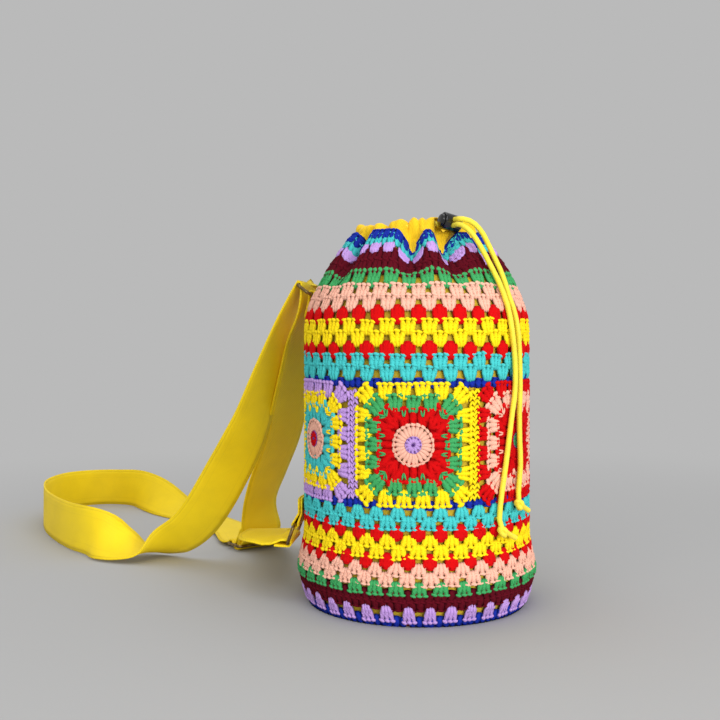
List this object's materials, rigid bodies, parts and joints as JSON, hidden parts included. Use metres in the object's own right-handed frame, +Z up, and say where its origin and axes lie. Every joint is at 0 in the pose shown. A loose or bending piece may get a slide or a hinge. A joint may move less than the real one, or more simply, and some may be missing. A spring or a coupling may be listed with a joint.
{
  "type": "crochet drawstring bag",
  "caption": "Cylindrical crocheted drawstring bag with granny squares, cloth lining, cord lock and adjustable webbing sling, standing on its flat base.",
  "frame": {"origin": "middle of the flat crocheted base, on the surface that the bag stands on", "axes": "+Z up along the bag; the bag's front, with the cord lock to its right, looks along -Y; the webbing sling lies to the left and behind"},
  "size_m": [0.5584, 0.605, 0.3366],
  "materials": {
    "yarn_base": "crocheted yarn, pink",
    "yarn_lower": "crocheted yarn in rows of several colours",
    "yarn_upper": "crocheted yarn in rows of several colours",
    "yarn_pink": "crocheted yarn",
    "yarn_red": "crocheted yarn",
    "yarn_turquoise": "crocheted yarn",
    "yarn_lilac": "crocheted yarn",
    "yarn_yellow": "crocheted yarn",
    "lining_cloth": "plain woven cotton",
    "casing_cloth": "plain woven cotton",
    "cord_yellow": "braided cord",
    "black_plastic": "moulded, glossy",
    "spring_steel": "plain",
    "antique_brass": "darkened",
    "webbing": "flat woven webbing"
  },
  "bodies": {
    "bag": {"crochet_base": "yarn_base", "crochet_lower": "yarn_lower", "crochet_upper": "yarn_upper", "granny_square_1": "yarn_pink", "granny_square_2": "yarn_red", "granny_square_3": "yarn_turquoise", "granny_square_4": "yarn_lilac", "granny_square_5": "yarn_yellow", "granny_square_6": "yarn_pink", "lining_wall": "lining_cloth", "lining_base": "lining_cloth", "drawstring_casing": "casing_cloth", "drawcord_loop": "cord_yellow", "drawcord_tail_left": "cord_yellow", "drawcord_tail_right": "cord_yellow", "cord_knot_left": "cord_yellow", "cord_knot_right": "cord_yellow", "upper_ring": "antique_brass", "lower_ring": "antique_brass", "upper_tab": "webbing", "lower_tab": "webbing", "strap_slider": "antique_brass", "strap_webbing": "webbing"},
    "cord_lock": {"cord_lock_barrel": "black_plastic", "cord_lock_spring": "spring_steel"},
    "lock_button": {"cord_lock_plunger": "black_plastic"}
  },
  "joints": [
    {"name": "cord_lock_slide", "type": "slide", "parent": "bag", "child": "cord_lock", "axis": [0.4204, -0.9059, -0.0501], "range_m": [0, 0.0045]},
    {"name": "plunger_press", "type": "slide", "parent": "cord_lock", "child": "lock_button", "axis": [0.8804, 0.4202, -0.2201], "range_m": [0, 0.0018], "stiffness_N_per_m": 600, "springref_m": -0.002, "deforming": ["cord_lock_spring"]}
  ]
}
